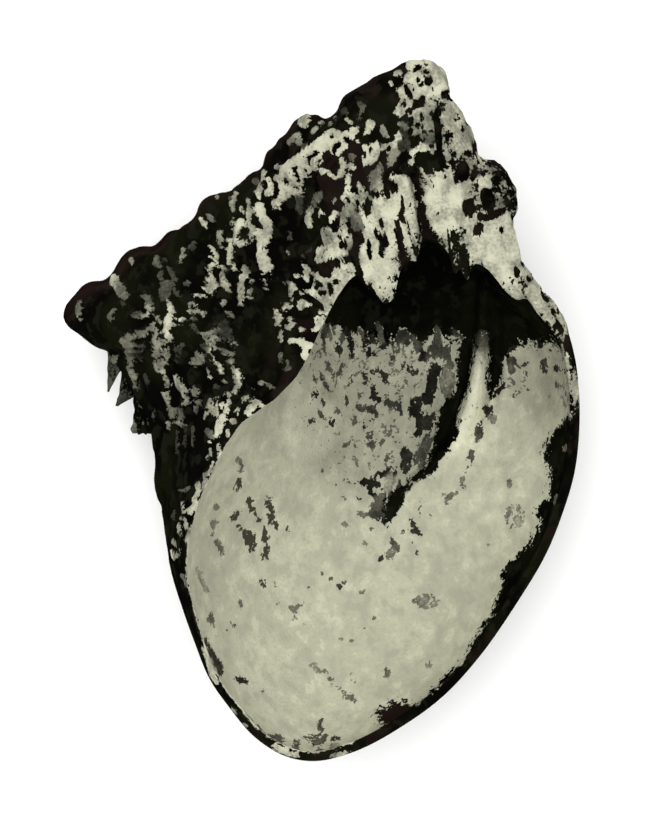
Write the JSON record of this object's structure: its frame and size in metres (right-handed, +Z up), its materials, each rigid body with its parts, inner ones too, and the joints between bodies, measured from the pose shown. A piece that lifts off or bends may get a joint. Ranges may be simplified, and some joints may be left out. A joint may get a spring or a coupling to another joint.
{
  "type": "thorny oyster lower valve",
  "caption": "Deep, heavy lower valve of a thorny oyster lying bowl up, with a tall hinge area, hinge teeth, a curved ridge in the bowl and a rough ribbed outside.",
  "frame": {"origin": "middle of the object's box, on the plane of the flat spot that the valve rests on", "axes": "+Z up out of the bowl, +Y from the lower margin towards the beak, +X right as seen from above with the beak at the top"},
  "size_m": [0.0896, 0.1198, 0.0495],
  "materials": {
    "shell": "worn, matt, pale inside the bowl and darkly stained on the ribbed outside"
  },
  "bodies": {
    "root": {"lower_valve": "shell"}
  },
  "joints": []
}
